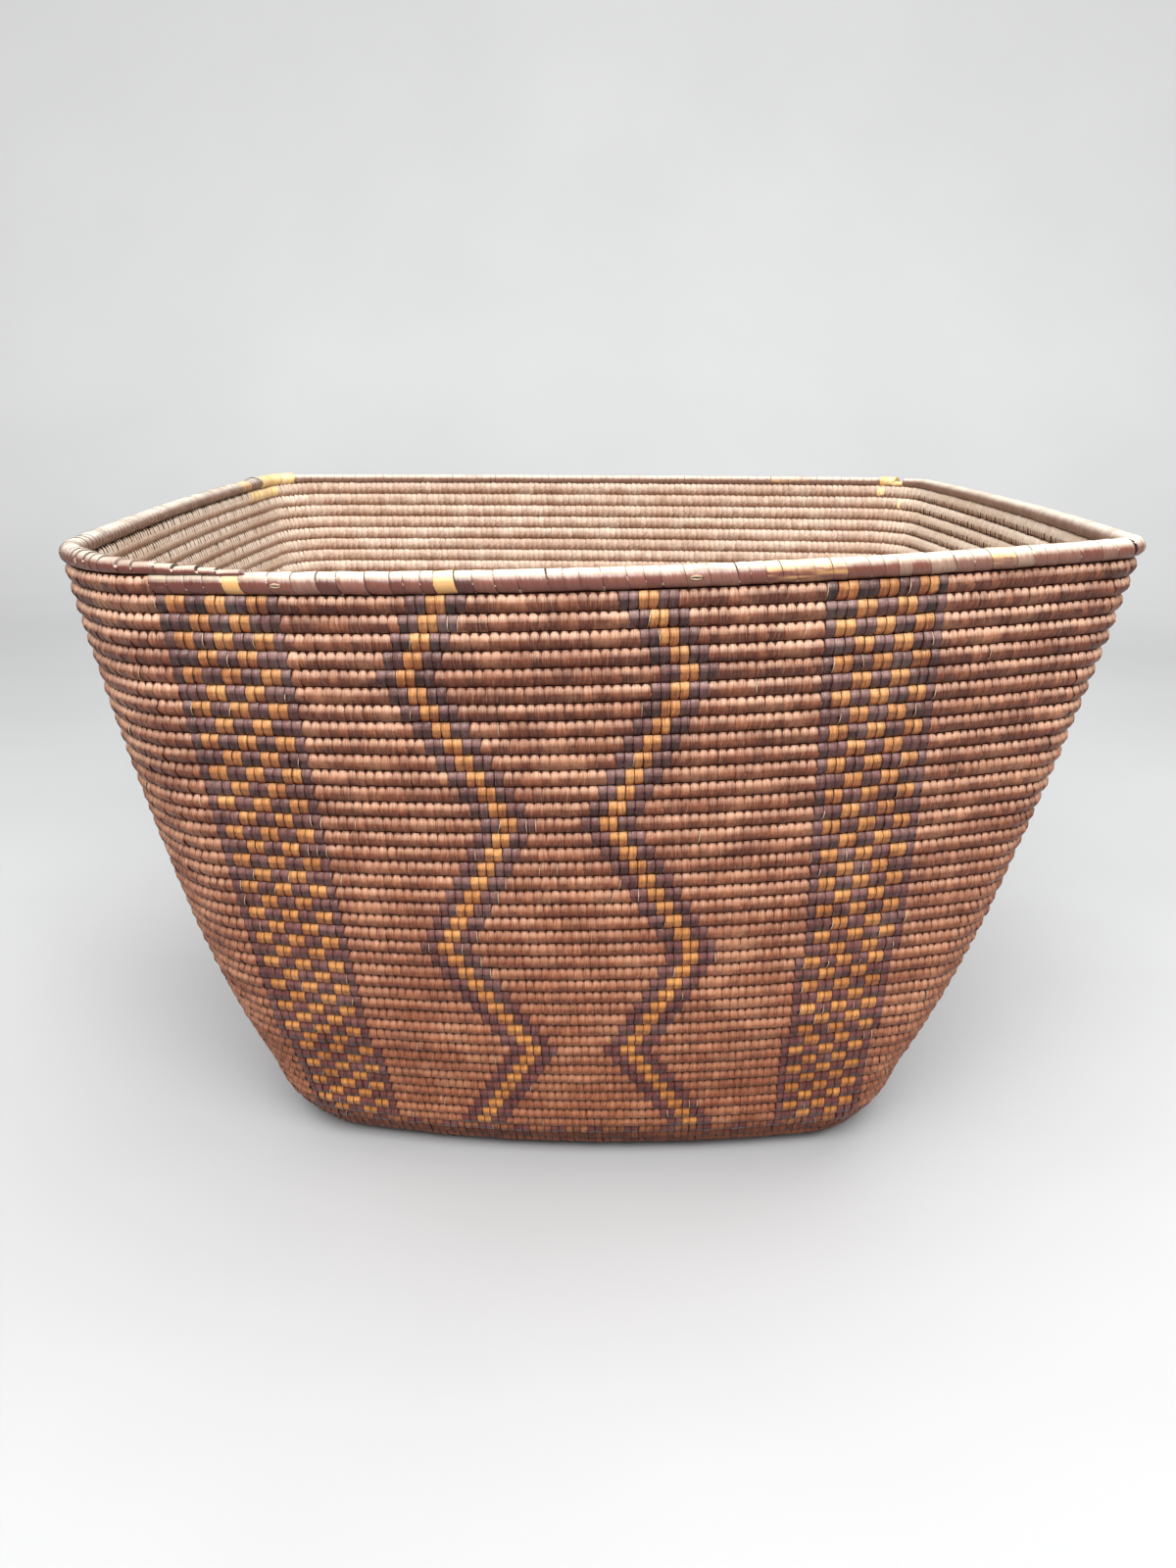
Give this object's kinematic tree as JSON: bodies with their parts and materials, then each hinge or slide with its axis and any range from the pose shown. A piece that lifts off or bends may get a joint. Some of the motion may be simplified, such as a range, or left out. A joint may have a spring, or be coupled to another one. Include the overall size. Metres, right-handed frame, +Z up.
{
  "type": "imbricated basket",
  "caption": "Large oblong coiled basket with flaring walls, a flat floor, an open top and a wrapped rim, patterned outside with folded strips.",
  "frame": {"origin": "middle of the base's underside, on the surface that the basket stands on", "axes": "+X along the basket's length, to the right seen from the front; +Y from the front to the back; +Z up"},
  "size_m": [0.443, 0.4225, 0.3238],
  "materials": {
    "floor_root": "dry split root, worn smooth",
    "plain_coil": "dry split root, sewn without folds",
    "imbricated_coil": "folded bark and grass strips, dull satin",
    "rim_bark": "wide bark wraps, worn grey on top",
    "repair_thread": "flat yellow thread"
  },
  "bodies": {
    "root": {"floor_core": "floor_root", "floor_coil_1": "floor_root", "floor_coil_2": "floor_root", "floor_coil_3": "floor_root", "floor_coil_4": "floor_root", "floor_coil_5": "floor_root", "wall_course_01": "plain_coil", "wall_course_02": "plain_coil", "wall_course_03": "plain_coil", "wall_course_04": "imbricated_coil", "wall_course_05": "imbricated_coil", "wall_course_06": "imbricated_coil", "wall_course_07": "imbricated_coil", "wall_course_08": "imbricated_coil", "wall_course_09": "imbricated_coil", "wall_course_10": "imbricated_coil", "wall_course_11": "imbricated_coil", "wall_course_12": "imbricated_coil", "wall_course_13": "imbricated_coil", "wall_course_14": "imbricated_coil", "wall_course_15": "imbricated_coil", "wall_course_16": "imbricated_coil", "wall_course_17": "imbricated_coil", "wall_course_18": "imbricated_coil", "wall_course_19": "imbricated_coil", "wall_course_20": "imbricated_coil", "wall_course_21": "imbricated_coil", "wall_course_22": "imbricated_coil", "wall_course_23": "imbricated_coil", "wall_course_24": "imbricated_coil", "wall_course_25": "imbricated_coil", "wall_course_26": "imbricated_coil", "wall_course_27": "imbricated_coil", "wall_course_28": "imbricated_coil", "wall_course_29": "imbricated_coil", "wall_course_30": "imbricated_coil", "wall_course_31": "imbricated_coil", "wall_course_32": "imbricated_coil", "wall_course_33": "imbricated_coil", "wall_course_34": "imbricated_coil", "wall_course_35": "imbricated_coil", "wall_course_36": "imbricated_coil", "wall_course_37": "imbricated_coil", "wall_course_38": "imbricated_coil", "wall_course_39": "imbricated_coil", "wall_course_40": "imbricated_coil", "wall_course_41": "imbricated_coil", "wall_course_42": "imbricated_coil", "wall_course_43": "imbricated_coil", "rim_coil_front": "rim_bark", "rim_coil_back": "rim_bark", "rim_coil_left": "rim_bark", "rim_notch_binding": "repair_thread"}
  },
  "joints": []
}
